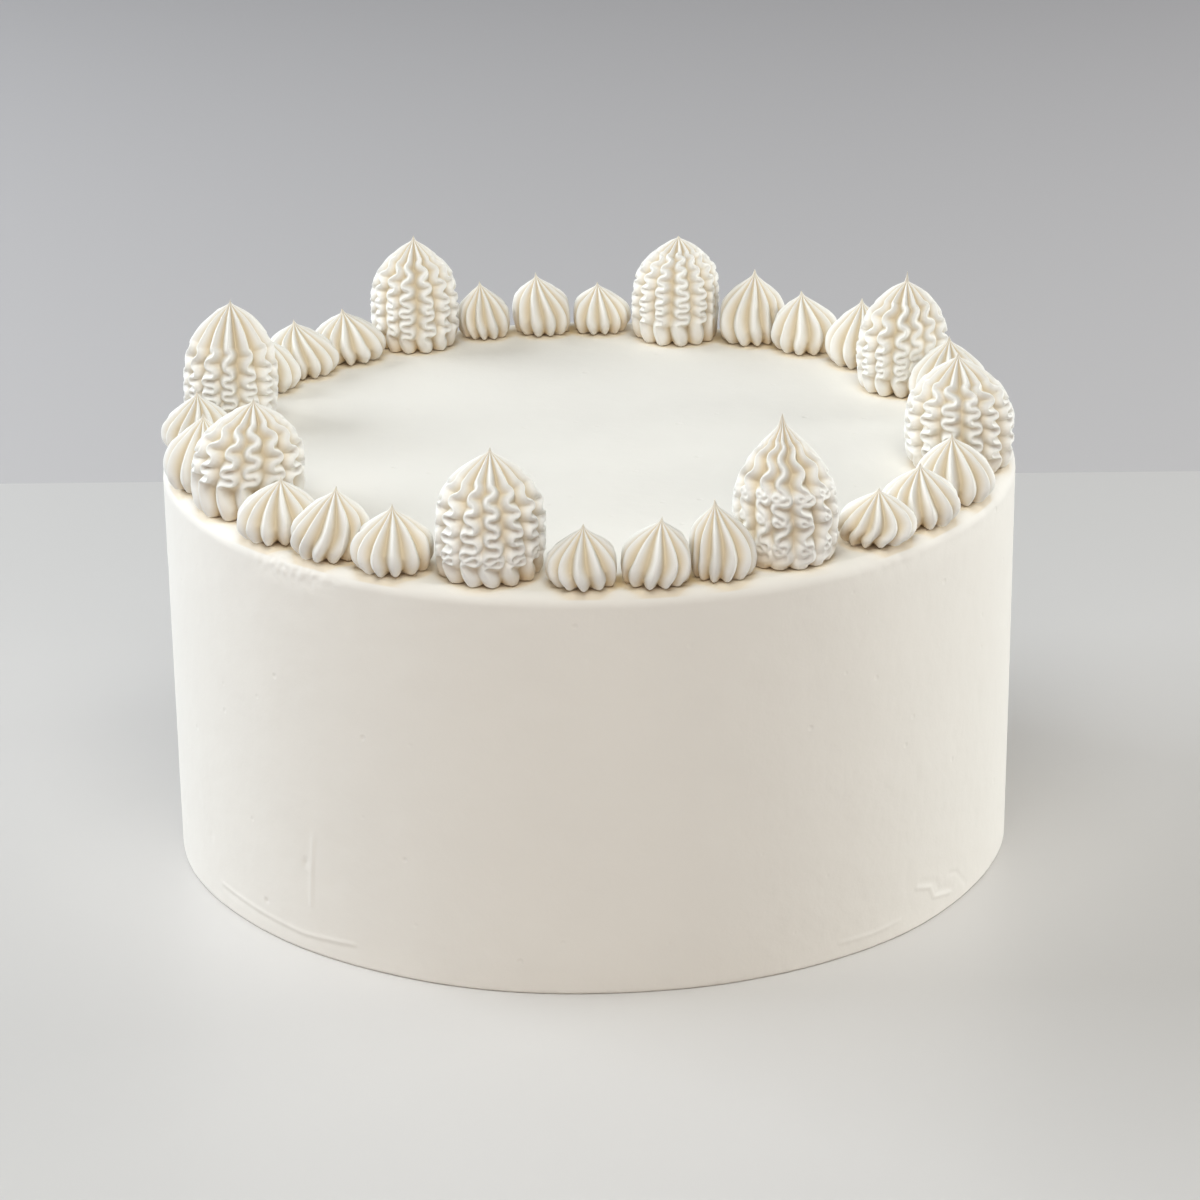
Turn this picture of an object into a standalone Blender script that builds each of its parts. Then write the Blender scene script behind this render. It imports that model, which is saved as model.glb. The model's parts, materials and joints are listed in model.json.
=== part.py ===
"""Round layer cake, iced smooth in white buttercream, with a ring of piped mounds on its top.

Metres, +Z up. The origin is the middle of the cake's foot, and the front faces -Y.
The iced cake is one object, and each piped mound is an object of its own, which stands
on the cake's flat top. Eight tall mounds are ruffled: their ridges swing from side to
side on the way down. Two or three small star-shaped mounds fill each space between them.
"""

import math
import random
from dataclasses import dataclass

import bmesh
import bpy
from mathutils import Vector

# Iced cake
FOOT_RADIUS = 0.1150
TOP_RADIUS = 0.1158
CAKE_HEIGHT = 0.1096
RIM_ROUNDING = 0.0036
RIM_STEPS = 4
SIDE_HEIGHTS = (0.004, 0.036, 0.071)
CAKE_COLUMNS = 120

# The spatula leaves the side a little uneven, in shallow waves that slant round the cake:
# how many go round, how deep each is in metres, and where it starts in radians
SIDE_WAVES = ((3, 0.00022, 0.6), (7, 0.00016, 2.1), (12, 0.00012, 4.4))
SIDE_SLANT = 1.3

# Piped mounds
SMALL_RING = 0.1058
GAP = 0.0003
PRESSED_BAND = 0.0022
LEAN_GROWTH = 1.6
SWING_GROWTH = 1.6

# Tall mounds in turn round the ring, from the front left: direction in degrees, distance
# of the foot from the cake's middle, width, height, and how far the tip leans to +X
TALL_MOUNDS = (
    (-104.5, 0.1007, 0.0294, 0.0335, 0.0006),
    (-60.5, 0.1007, 0.0276, 0.0382, -0.0010),
    (-10.0, 0.1007, 0.0300, 0.0310, -0.0009),
    (29.0, 0.1007, 0.0264, 0.0336, 0.0013),
    (75.2, 0.1022, 0.0277, 0.0302, 0.0005),
    (118.0, 0.1062, 0.0264, 0.0324, 0.0),
    (165.0, 0.1022, 0.0268, 0.0350, 0.0009),
    (207.5, 0.1007, 0.0304, 0.0300, 0.0025),
)

# Small mounds in the space after each tall one: share of the way to the next tall one,
# width, height, and how far the tip leans to +X
SMALL_MOUNDS = (
    ((0.31, 0.0206, 0.0157, 0.0), (0.53, 0.0212, 0.0172, 0.0020), (0.74, 0.0192, 0.0200, -0.0016)),
    ((0.28, 0.0215, 0.0142, 0.0010), (0.48, 0.0219, 0.0160, 0.0), (0.70, 0.0219, 0.0180, -0.0010)),
    ((0.33, 0.0215, 0.0175, 0.0), (0.74, 0.0228, 0.0195, 0.0)),
    ((0.29, 0.0215, 0.0192, 0.0), (0.53, 0.0216, 0.0174, -0.0015), (0.74, 0.0222, 0.0212, 0.0008)),
    ((0.30, 0.0194, 0.0144, -0.0007), (0.51, 0.0200, 0.0178, -0.0022), (0.73, 0.0172, 0.0163, -0.0014)),
    ((0.26, 0.0222, 0.0147, -0.0021), (0.47, 0.0222, 0.0158, -0.0024), (0.67, 0.0214, 0.0158, 0.0)),
    ((0.34, 0.0206, 0.0165, 0.0), (0.73, 0.0228, 0.0206, 0.0)),
    ((0.28, 0.0230, 0.0165, 0.0011), (0.50, 0.0220, 0.0185, 0.0019), (0.72, 0.0226, 0.0171, 0.0)),
)

ICING_COLOUR = (0.86, 0.83, 0.76)
PIPED_COLOUR = (0.88, 0.85, 0.78)
ICING_ROUGHNESS = 0.45
SEED = 31


@dataclass(frozen=True)
class Piping:
    """How a kind of mound leaves the nozzle.

    belly is the height of the widest place as a share of the whole height. shoulder and
    peak are the exponents of the outline above it. tuck is how far the foot draws in, and
    ridge_depth how deep the grooves between the ridges are, as shares of the radius. The
    ridges swing by up to swing of their own spacing, folds times between the heights
    fold_low and fold_high, and the whole mound turns by up to twist radians.
    """

    ridges: int
    belly: float
    shoulder: float
    peak: float
    tuck: float
    ridge_depth: float
    plain_rings: tuple
    swing: float
    folds: int
    fold_low: float
    fold_high: float
    twist: float

    def outline(self, share):
        """Radius at a share of the height, as a share of the widest radius."""
        if share < self.belly:
            return 1.0 - self.tuck * ((self.belly - share) / self.belly) ** 2
        above = (share - self.belly) / (1.0 - self.belly)
        return (1.0 - above ** self.shoulder) ** self.peak

    def swing_at(self, share):
        """Sideways swing of every ridge at a share of the height, in ridge spacings."""
        if self.folds == 0 or not self.fold_low < share < self.fold_high:
            return 0.0
        down = (self.fold_high - share) / (self.fold_high - self.fold_low)
        growth = min(1.0, SWING_GROWTH * down)
        return self.swing * growth * math.sin(2.0 * math.pi * self.folds * down)

    def ring_shares(self):
        """Heights of the rings of vertices: the plain ones and one at each end of a swing."""
        rings = list(self.plain_rings)
        for half in range(2 * self.folds):
            down = (half + 0.5) / (2.0 * self.folds)
            rings.append(self.fold_high - down * (self.fold_high - self.fold_low))
        return sorted(rings)


RUFFLED = Piping(ridges=13, belly=0.30, shoulder=3.0, peak=1.04, tuck=0.10, ridge_depth=0.17,
                 plain_rings=(0.0, 0.07, 0.78, 0.87, 0.94), swing=0.24, folds=5,
                 fold_low=0.12, fold_high=0.72, twist=0.10)
STAR = Piping(ridges=12, belly=0.30, shoulder=2.2, peak=1.25, tuck=0.20, ridge_depth=0.20,
              plain_rings=(0.0, 0.12, 0.35, 0.60, 0.82), swing=0.0, folds=0,
              fold_low=0.0, fold_high=0.0, twist=0.35)


@dataclass
class Mound:
    """One piped mound: its name, kind of piping, place, width, height and lean to +X."""

    name: str
    piping: Piping
    direction: float
    ring: float
    width: float
    height: float
    lean: float

    @property
    def centre(self):
        """Middle of the foot, level with the cake's flat top."""
        return Vector((self.ring * math.cos(self.direction), self.ring * math.sin(self.direction), 0.0))


def buttercream(name, colour):
    """Matt, slightly creamy white icing."""
    material = bpy.data.materials.new(name)
    material.use_nodes = True
    shader = material.node_tree.nodes["Principled BSDF"]
    shader.inputs["Base Color"].default_value = (*colour, 1.0)
    shader.inputs["Roughness"].default_value = ICING_ROUGHNESS
    shader.inputs["Metallic"].default_value = 0.0
    material.diffuse_color = (*colour, 1.0)
    return material


def spun(profile, columns):
    """Turn a profile of (radius, height) points, with both ends on the axis, into a closed body."""
    bm = bmesh.new()
    points = [bm.verts.new((radius, 0.0, height)) for radius, height in profile]
    edges = [bm.edges.new(pair) for pair in zip(points, points[1:])]
    bmesh.ops.spin(bm, geom=points + edges, cent=(0, 0, 0), axis=(0, 0, 1), dvec=(0, 0, 0),
                   angle=2.0 * math.pi, steps=columns, use_merge=True)
    bmesh.ops.remove_doubles(bm, verts=bm.verts, dist=1e-6)
    bmesh.ops.recalc_face_normals(bm, faces=bm.faces)
    return bm


def add_object(name, bm, material, sharp_degrees):
    """Make an object of a bmesh, shaded smooth except at its sharp edges."""
    mesh = bpy.data.meshes.new(name)
    bm.to_mesh(mesh)
    bm.free()
    mesh.materials.append(material)
    mesh.shade_smooth()
    mesh.set_sharp_from_angle(angle=math.radians(sharp_degrees))
    obj = bpy.data.objects.new(name, mesh)
    bpy.context.scene.collection.objects.link(obj)
    return obj


def cake_profile():
    """Half outline of the iced cake, from the middle of the foot to the middle of the top."""
    profile = [(0.0, 0.0), (FOOT_RADIUS, 0.0)]
    for height in SIDE_HEIGHTS:
        share = height / CAKE_HEIGHT
        profile.append((FOOT_RADIUS + share * (TOP_RADIUS - FOOT_RADIUS), height))
    for step in range(RIM_STEPS + 1):
        turn = 0.5 * math.pi * step / RIM_STEPS
        radius = TOP_RADIUS - RIM_ROUNDING * (1.0 - math.cos(turn))
        height = CAKE_HEIGHT - RIM_ROUNDING * (1.0 - math.sin(turn))
        profile.append((radius, height))
    profile.append((0.0, CAKE_HEIGHT))
    return profile


def side_unevenness(angle, share):
    """How far the iced side stands in from a true round, at an angle and a share of the height."""
    depth = 0.0
    for count, amount, start in SIDE_WAVES:
        depth += amount * (1.0 - math.sin(count * angle + start + SIDE_SLANT * share))
    return depth


def make_cake(material):
    """The iced cake: a solid with a flat foot and top, a softly rounded rim and an uneven side."""
    bm = spun(cake_profile(), CAKE_COLUMNS)
    for vert in bm.verts:
        radius = vert.co.xy.length
        if radius < 0.5 * FOOT_RADIUS:
            continue
        angle = math.atan2(vert.co.y, vert.co.x)
        smaller = 1.0 - side_unevenness(angle, vert.co.z / CAKE_HEIGHT) / radius
        vert.co.x *= smaller
        vert.co.y *= smaller
    return add_object("cake", bm, material, 40.0)


def pressed(distance, limit):
    """Soft icing stops at its neighbour: a distance towards it eases up to the limit."""
    start = limit - PRESSED_BAND
    if distance <= start:
        return distance
    return limit - PRESSED_BAND * math.exp(-(distance - start) / PRESSED_BAND)


def press_against(point, mound, neighbour):
    """Hold a point of one mound back from the plane where it meets its neighbour."""
    apart = neighbour.centre - mound.centre
    reach = apart.length
    towards = apart / reach
    limit = reach * mound.width / (mound.width + neighbour.width) - 0.5 * GAP
    distance = point.dot(towards)
    return point + (pressed(distance, limit) - distance) * towards


def make_mound(mound, neighbours, material, draw):
    """One ridged mound, pressed softly against the mounds on both sides of it."""
    piping = mound.piping
    widest = 0.5 * mound.width
    profile = [(0.0, 0.0)]
    for share in piping.ring_shares():
        profile.append((widest * piping.outline(share), mound.height * share))
    profile.append((0.0, mound.height))

    spacing = 2.0 * math.pi / piping.ridges
    start = draw.uniform(0.0, spacing)
    twist = draw.uniform(-piping.twist, piping.twist)

    bm = spun(profile, 2 * piping.ridges)
    for vert in bm.verts:
        radius = vert.co.xy.length
        share = vert.co.z / mound.height
        angle = math.atan2(vert.co.y, vert.co.x)
        groove = 0.5 - 0.5 * math.cos(piping.ridges * angle)
        radius *= 1.0 - piping.ridge_depth * groove
        angle += start + twist * share + piping.swing_at(share) * spacing
        point = Vector((radius * math.cos(angle) + mound.lean * share ** LEAN_GROWTH,
                        radius * math.sin(angle), vert.co.z))
        for neighbour in neighbours:
            point = press_against(point, mound, neighbour)
        vert.co = point

    obj = add_object(mound.name, bm, material, 70.0)
    obj.location = mound.centre + Vector((0.0, 0.0, CAKE_HEIGHT + GAP))
    return obj


def plan_ring():
    """All the mounds in turn round the ring, each tall one followed by its small ones."""
    ring = []
    small_number = 0
    for index, (degrees, distance, width, height, lean) in enumerate(TALL_MOUNDS):
        ring.append(Mound(f"tall_mound_{index + 1}", RUFFLED, math.radians(degrees),
                          distance, width, height, lean))
        following = TALL_MOUNDS[(index + 1) % len(TALL_MOUNDS)][0]
        gap = (following - degrees) % 360.0
        for share, small_width, small_height, small_lean in SMALL_MOUNDS[index]:
            small_number += 1
            ring.append(Mound(f"small_mound_{small_number:02d}", STAR,
                              math.radians(degrees + share * gap), SMALL_RING,
                              small_width, small_height, small_lean))
    return ring


def main():
    """Build the cake and its ring of mounds."""
    for obj in list(bpy.data.objects):
        bpy.data.objects.remove(obj, do_unlink=True)

    make_cake(buttercream("smooth_buttercream", ICING_COLOUR))
    piped = buttercream("piped_buttercream", PIPED_COLOUR)
    ring = plan_ring()
    for index, mound in enumerate(ring):
        neighbours = (ring[index - 1], ring[(index + 1) % len(ring)])
        make_mound(mound, neighbours, piped, random.Random(SEED + index))


main()
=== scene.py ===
"""Looks of a round layer cake, iced smooth in white buttercream, with piped mounds on its top.

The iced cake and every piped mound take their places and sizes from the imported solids.
Metres, +Z up, the front of the cake faces -Y.
"""

import json
import logging
import math
import random
from dataclasses import dataclass
from enum import Enum

import bmesh
import bpy
import numpy as np
from bpy.types import ID, Material, Mesh, Node, NodeSocket, NodeTree, Object
from mathutils import Euler, Matrix, Vector, kdtree, noise
from numpy import ndarray

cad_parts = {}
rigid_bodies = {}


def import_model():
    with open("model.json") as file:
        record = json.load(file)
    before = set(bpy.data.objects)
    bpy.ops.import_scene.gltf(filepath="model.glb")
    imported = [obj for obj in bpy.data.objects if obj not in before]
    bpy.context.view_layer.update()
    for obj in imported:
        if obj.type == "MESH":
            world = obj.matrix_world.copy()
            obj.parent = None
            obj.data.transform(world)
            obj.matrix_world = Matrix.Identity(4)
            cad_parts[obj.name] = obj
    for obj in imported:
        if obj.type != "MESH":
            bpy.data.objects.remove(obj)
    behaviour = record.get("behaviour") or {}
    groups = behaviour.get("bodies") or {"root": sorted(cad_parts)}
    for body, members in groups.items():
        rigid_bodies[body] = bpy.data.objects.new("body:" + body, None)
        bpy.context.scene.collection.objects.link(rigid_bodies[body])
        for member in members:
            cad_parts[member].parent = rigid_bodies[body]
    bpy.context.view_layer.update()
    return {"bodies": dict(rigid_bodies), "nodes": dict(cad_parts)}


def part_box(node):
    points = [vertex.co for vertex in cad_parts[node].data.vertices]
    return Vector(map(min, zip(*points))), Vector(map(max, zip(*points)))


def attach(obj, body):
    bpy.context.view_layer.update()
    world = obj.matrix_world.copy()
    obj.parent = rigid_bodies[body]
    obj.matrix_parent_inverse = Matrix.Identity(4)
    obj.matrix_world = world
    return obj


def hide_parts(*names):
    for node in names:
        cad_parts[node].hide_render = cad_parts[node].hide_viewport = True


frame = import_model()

LOG = logging.getLogger("layer_cake")
BODY = "root"
MILLIMETRE = 0.001
Pair = tuple[float, float]
Triple = tuple[float, float, float]


class Slot(Enum):
    """Material slots of the record."""

    SMOOTH = "smooth_buttercream"
    PIPED = "piped_buttercream"


class Mark(Enum):
    """Names of the mesh attributes that the finishes read."""

    ALONG = "along"
    # Depth in a groove, which sets the painted shade there.
    GROOVE_SHADE = "groove_shade"
    # Nearness to a contact between parts, which sets the painted shade there.
    CONTACT_SHADE = "contact"


def clear_startup_objects() -> None:
    """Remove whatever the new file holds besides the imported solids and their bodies."""
    kept = set(frame["nodes"].values()) | set(frame["bodies"].values())
    for obj in list(bpy.data.objects):
        if obj not in kept:
            bpy.data.objects.remove(obj, do_unlink=True)


def smooth_step(value: ndarray) -> ndarray:
    """Ease from 0 to 1 over the same range."""
    value = np.clip(value, 0.0, 1.0)
    return value * value * (3.0 - 2.0 * value)


def rough_field(points: ndarray, grain: float, seed: float) -> ndarray:
    """Smooth random field at many points.

    Args:
        points: Places in metres, one row each.
        grain: Size of its lumps in metres.
        seed: Shift that gives another field of the same kind.

    Returns:
        A value of about -1 to 1 for each point.
    """
    shift = Vector((seed, 1.7 * seed, -0.6 * seed))
    return np.array([noise.noise(Vector(point) / grain + shift) for point in points])


@dataclass(frozen=True)
class TurnedForm:
    """A closed body turned round the Z axis.

    The profile has a row of radius, height and distance along it for each point, and both
    its ends lie on the axis.
    """

    profile: ndarray
    columns: int

    def build(self, name: str) -> Mesh:
        """Spin the profile into a mesh.

        Args:
            name: Name of the mesh.

        Returns:
            A closed mesh whose vertices carry their distance along the profile.
        """
        bm = bmesh.new()
        along = bm.verts.layers.float.new(Mark.ALONG.value)
        points = []
        for radius, height, distance in self.profile:
            vert = bm.verts.new((radius, 0.0, height))
            vert[along] = distance
            points.append(vert)
        edges = [bm.edges.new(pair) for pair in zip(points, points[1:])]
        bmesh.ops.spin(bm, geom=points + edges, cent=(0, 0, 0), axis=(0, 0, 1), dvec=(0, 0, 0),
                       angle=2.0 * math.pi, steps=self.columns, use_merge=True)
        bmesh.ops.remove_doubles(bm, verts=bm.verts, dist=1e-7)
        bmesh.ops.recalc_face_normals(bm, faces=bm.faces)
        mesh = bpy.data.meshes.new(name)
        bm.to_mesh(mesh)
        bm.free()
        mesh.shade_smooth()
        return mesh


def add_object(name: str, data: ID) -> Object:
    """Put a mesh, lamp or camera into the scene.

    Args:
        name: Name of the object.
        data: The mesh, lamp or camera.

    Returns:
        The new object.
    """
    obj = bpy.data.objects.new(name, data)
    bpy.context.scene.collection.objects.link(obj)
    return obj


def get_points(mesh: Mesh) -> ndarray:
    """Read the vertex positions of a mesh.

    Args:
        mesh: The mesh to read.

    Returns:
        Positions, one row each.
    """
    flat = np.empty(3 * len(mesh.vertices), np.float32)
    mesh.vertices.foreach_get("co", flat)
    return flat.reshape(-1, 3).astype(float)


def set_points(mesh: Mesh, points: ndarray) -> None:
    """Move the vertices of a mesh."""
    mesh.vertices.foreach_set("co", points.astype(np.float32).ravel())
    mesh.update()


def get_mark(mesh: Mesh, mark: Mark) -> ndarray:
    """Read one attribute on the vertices.

    Args:
        mesh: The mesh to read.
        mark: The attribute.

    Returns:
        A value for each vertex.
    """
    values = np.empty(len(mesh.vertices), np.float32)
    mesh.attributes[mark.value].data.foreach_get("value", values)
    return values.astype(float)


def set_mark(mesh: Mesh, mark: Mark, values: ndarray) -> None:
    """Store one attribute on the vertices.

    Args:
        mesh: The mesh to mark.
        mark: The attribute, made where the mesh has none.
        values: A value for each vertex.
    """
    layer = mesh.attributes.get(mark.value)
    if layer is None:
        layer = mesh.attributes.new(mark.value, "FLOAT", "POINT")
    layer.data.foreach_set("value", values.astype(np.float32))


def ease_mesh(mesh: Mesh, strength: float) -> None:
    """Smooth a mesh lightly, so that steep flanks show no steps.

    Args:
        mesh: The mesh to smooth.
        strength: How far each vertex moves towards its neighbours' middle.
    """
    bm = bmesh.new()
    bm.from_mesh(mesh)
    bmesh.ops.smooth_vert(bm, verts=bm.verts, factor=strength, use_axis_x=True,
                          use_axis_y=True, use_axis_z=True)
    bm.to_mesh(mesh)
    bm.free()


@dataclass(frozen=True)
class Buttercream:
    """Whipped white icing, soft and creamy, with painted shade of a darker, warmer colour in its
    folds and corners.

    The colours are linear and the sizes in metres. grain and swell are the finest and the
    broadest bumps. pits are the small air holes that the spatula opens, pit_edge the shares
    of their spacing where a hole ends. mottle is the size of the clouds in the colour and
    mottle_low their darkest shade, drift the size of the patches in which the roughness
    drifts by drift_depth, and noise_range the usable range of the noise.
    """

    name: str
    # crest is the icing's own colour; the two colours after it are painted shade, for grooves and
    # for corners where parts meet.
    crest: Triple
    groove_shade: Triple
    contact: Triple
    roughness: float
    grain: float
    grain_depth: float
    swell: float
    swell_depth: float
    pit_spacing: float
    pit_depth: float
    pit_edge: Pair = (0.03, 0.09)
    mottle: float = 0.022
    mottle_low: float = 0.985
    drift: float = 0.008
    drift_depth: float = 0.06
    noise_range: Pair = (0.3, 0.7)
    refraction: float = 1.45
    shine: float = 0.35

    def make(self) -> Material:
        """Build the material's nodes.

        Returns:
            The finished material.
        """
        material = bpy.data.materials.new(self.name)
        material.use_nodes = True
        tree = material.node_tree
        shader = tree.nodes["Principled BSDF"]
        shader.inputs["Metallic"].default_value = 0.0
        shader.inputs["IOR"].default_value = self.refraction
        shader.inputs["Specular IOR Level"].default_value = self.shine
        place = tree.nodes.new("ShaderNodeTexCoord")
        self._paint(tree, shader, place)
        self._roughen(tree, shader, place)
        self._raise(tree, shader, place)
        return material

    def _noise(self, tree: NodeTree, place: Node, size: float, detail: float) -> Node:
        """Add noise on Object coordinates.

        Args:
            tree: The material's nodes.
            place: The node that gives the Object coordinates.
            size: Size of the lumps in metres.
            detail: How many finer layers it has.

        Returns:
            The noise node.
        """
        node = tree.nodes.new("ShaderNodeTexNoise")
        node.inputs["Scale"].default_value = 1.0 / size
        node.inputs["Detail"].default_value = detail
        tree.links.new(place.outputs["Object"], node.inputs["Vector"])
        return node

    def _ramp(self, tree: NodeTree, value: NodeSocket, source: Pair, target: Pair) -> Node:
        """Map a value from one range to another.

        Args:
            tree: The material's nodes.
            value: The output to map.
            source: Its range.
            target: The range that it gets.

        Returns:
            The mapping node.
        """
        node = tree.nodes.new("ShaderNodeMapRange")
        node.inputs["From Min"].default_value, node.inputs["From Max"].default_value = source
        node.inputs["To Min"].default_value, node.inputs["To Max"].default_value = target
        tree.links.new(value, node.inputs["Value"])
        return node

    def _bump(self, tree: NodeTree, height: NodeSocket, depth: float) -> Node:
        """Add a bump.

        Args:
            tree: The material's nodes.
            height: The output that gives the height.
            depth: Depth in metres.

        Returns:
            The bump node.
        """
        node = tree.nodes.new("ShaderNodeBump")
        node.inputs["Strength"].default_value = 1.0
        node.inputs["Distance"].default_value = depth
        tree.links.new(height, node.inputs["Height"])
        return node

    def _blend(self, tree: NodeTree, mark: Mark, colour: Triple) -> Node:
        """Blend towards a colour by one of the mesh's attributes.

        Args:
            tree: The material's nodes.
            mark: The attribute.
            colour: The colour where it is 1.

        Returns:
            The blending node, with the other colour still to be given.
        """
        amount = tree.nodes.new("ShaderNodeAttribute")
        amount.attribute_name = mark.value
        blend = tree.nodes.new("ShaderNodeMix")
        blend.data_type = "RGBA"
        blend.inputs["B"].default_value = (*colour, 1.0)
        tree.links.new(amount.outputs["Fac"], blend.inputs["Factor"])
        return blend

    def _paint(self, tree: NodeTree, shader: Node, place: Node) -> None:
        """Colour: cream, with painted shade darker and warmer in folds and corners, faintly
        mottled.

        Args:
            tree: The material's nodes.
            shader: The material's shader.
            place: The node that gives the Object coordinates.
        """
        # Painted shade down in the grooves.
        fold = self._blend(tree, Mark.GROOVE_SHADE, self.groove_shade)
        fold.inputs["A"].default_value = (*self.crest, 1.0)
        # Painted shade in the corners at the mounds' feet and between them.
        corner = self._blend(tree, Mark.CONTACT_SHADE, self.contact)
        tree.links.new(fold.outputs["Result"], corner.inputs["A"])
        clouds = self._noise(tree, place, self.mottle, 3.0)
        shade = self._ramp(tree, clouds.outputs["Fac"], self.noise_range, (self.mottle_low, 1.0))
        tint = tree.nodes.new("ShaderNodeVectorMath")
        tint.operation = "SCALE"
        tree.links.new(corner.outputs["Result"], tint.inputs[0])
        tree.links.new(shade.outputs["Result"], tint.inputs["Scale"])
        tree.links.new(tint.outputs["Vector"], shader.inputs["Base Color"])

    def _roughen(self, tree: NodeTree, shader: Node, place: Node) -> None:
        """Roughness that drifts a little over the surface.

        Args:
            tree: The material's nodes.
            shader: The material's shader.
            place: The node that gives the Object coordinates.
        """
        patches = self._noise(tree, place, self.drift, 4.0)
        limits = (self.roughness - self.drift_depth, self.roughness + self.drift_depth)
        spread = self._ramp(tree, patches.outputs["Fac"], self.noise_range, limits)
        tree.links.new(spread.outputs["Result"], shader.inputs["Roughness"])

    def _raise(self, tree: NodeTree, shader: Node, place: Node) -> None:
        """Bump: fine grain over soft swells, with a few small air holes.

        Args:
            tree: The material's nodes.
            shader: The material's shader.
            place: The node that gives the Object coordinates.
        """
        swell = self._noise(tree, place, self.swell, 2.0)
        broad = self._bump(tree, swell.outputs["Fac"], self.swell_depth)
        grain = self._noise(tree, place, self.grain, 3.0)
        fine = self._bump(tree, grain.outputs["Fac"], self.grain_depth)
        tree.links.new(broad.outputs["Normal"], fine.inputs["Normal"])
        cells = tree.nodes.new("ShaderNodeTexVoronoi")
        cells.inputs["Scale"].default_value = 1.0 / self.pit_spacing
        tree.links.new(place.outputs["Object"], cells.inputs["Vector"])
        hole = self._ramp(tree, cells.outputs["Distance"], self.pit_edge, (0.0, 1.0))
        pits = self._bump(tree, hole.outputs["Result"], self.pit_depth)
        tree.links.new(fine.outputs["Normal"], pits.inputs["Normal"])
        tree.links.new(pits.outputs["Normal"], shader.inputs["Normal"])


# Each icing's second and third colours are painted shade, for grooves and for the corners at the
# mounds' feet.
SMOOTH_ICING = Buttercream(
    name="smooth_buttercream", crest=(0.868, 0.842, 0.786), groove_shade=(0.80, 0.72, 0.56),
    contact=(0.74, 0.57, 0.31), roughness=0.64, grain=0.0008, grain_depth=0.00003,
    swell=0.009, swell_depth=0.00025, pit_spacing=0.011, pit_depth=0.00012)
PIPED_ICING = Buttercream(
    name="piped_buttercream", crest=(0.89, 0.88, 0.84), groove_shade=(0.70, 0.60, 0.43),
    contact=(0.66, 0.47, 0.22), roughness=0.54, grain=0.0006, grain_depth=0.00003,
    swell=0.004, swell_depth=0.00012, pit_spacing=0.009, pit_depth=0.00008)


@dataclass(frozen=True)
class Outline:
    """Outline of a mound, as shares of its widest radius and of its height.

    belly is the height of the widest place, shoulder and peak are the exponents of the
    outline above it, and tuck is how far the foot draws in. spike is the height of a thin
    needle of icing at the tip, needle its width and needle_reach how far down it runs, in
    spikes. The higher blend is, the more sharply it leaves the dome.
    """

    belly: float
    shoulder: float
    peak: float
    tuck: float
    spike: float
    needle: float = 0.08
    needle_reach: float = 1.8
    blend: float = 3.0

    def radius(self, share: ndarray) -> ndarray:
        """Work out the radius along the height.

        Args:
            share: Shares of the mound's height.

        Returns:
            Radii as shares of the widest one.
        """
        dome = share / (1.0 - self.spike)
        below = np.clip((self.belly - dome) / self.belly, 0.0, 1.0)
        above = np.clip((dome - self.belly) / (1.0 - self.belly), 0.0, 1.0)
        radius = (1.0 - self.tuck * below ** 2) * (1.0 - above ** self.shoulder) ** self.peak
        thin = np.clip((1.0 - share) / (self.needle_reach * self.spike), 0.0, 1.0)
        thin = self.needle * thin * (share > self.belly)
        return (radius ** self.blend + thin ** self.blend) ** (1.0 / self.blend)


STAR = Outline(belly=0.30, shoulder=2.2, peak=1.15, tuck=0.20, spike=0.08, needle=0.09)
DOME = Outline(belly=0.30, shoulder=3.0, peak=1.0, tuck=0.10, spike=0.045, needle=0.085)


@dataclass(frozen=True)
class Site:
    """Where one mound stands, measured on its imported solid."""

    node: str
    centre: Vector
    widest: float
    height: float
    lean: Vector

    @classmethod
    def measure(cls, node: str, foot_tuck: float) -> "Site":
        """Read a mound's place and size from its solid.

        Args:
            node: Name of the solid.
            foot_tuck: How far the solid's foot draws in, as a share of its widest radius.

        Returns:
            The mound's site.
        """
        points = get_points(frame["nodes"][node].data)
        low = points[:, 2].min()
        foot = points[points[:, 2] < low + 0.02 * MILLIMETRE]
        middle = 0.5 * (foot.min(axis=0) + foot.max(axis=0))
        pole = foot[np.argmin(np.linalg.norm(foot - middle, axis=1))]
        tip = points[np.argmax(points[:, 2])]
        reach = np.linalg.norm(foot[:, :2] - pole[:2], axis=1).max()
        return cls(node=node, centre=Vector(pole), widest=float(reach / (1.0 - foot_tuck)),
                   height=float(tip[2] - low),
                   lean=Vector((tip[0] - pole[0], tip[1] - pole[1], 0.0)))


@dataclass(frozen=True)
class PaintedShade:
    """How the painted shade, a darker and warmer colour, follows a mound's grooves and corners.

    gain, start and foot make the mark of painted shade in grooves from a groove's depth and from
    the nearness of the foot. groove and corner are the strengths of the painted shade at contacts
    in low grooves and close to a neighbour, up to the heights low and deep.
    """

    gain: float = 1.9
    start: float = 0.50
    foot: float = 0.3
    groove: float = 0.45
    corner: float = 0.9
    low: float = 3.5 * MILLIMETRE
    deep: float = 7.0 * MILLIMETRE

    def store(self, mesh: Mesh, height: ndarray, raised: ndarray, near: ndarray) -> None:
        """Store both marks of painted shade on a mound's mesh.

        Args:
            mesh: The mound's mesh.
            height: Heights of its vertices over the foot.
            raised: How far each stands up towards a ridge's edge, from 0 to 1.
            near: How far each has come towards a neighbour, from 0 to 1.
        """
        groove = 1.0 - raised
        low = 1.0 - smooth_step(height / self.low)
        deep = 1.0 - smooth_step(height / self.deep)
        # Painted shade, darker and warmer deep in a groove and low down, and in the corner by a
        # neighbour.
        groove_shade = self.gain * groove - self.start + self.foot * low
        contact = self.groove * low * groove + self.corner * deep * near ** 3
        set_mark(mesh, Mark.GROOVE_SHADE, np.clip(groove_shade, 0.0, 1.0))
        set_mark(mesh, Mark.CONTACT_SHADE, np.clip(contact, 0.0, 1.0))


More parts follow.
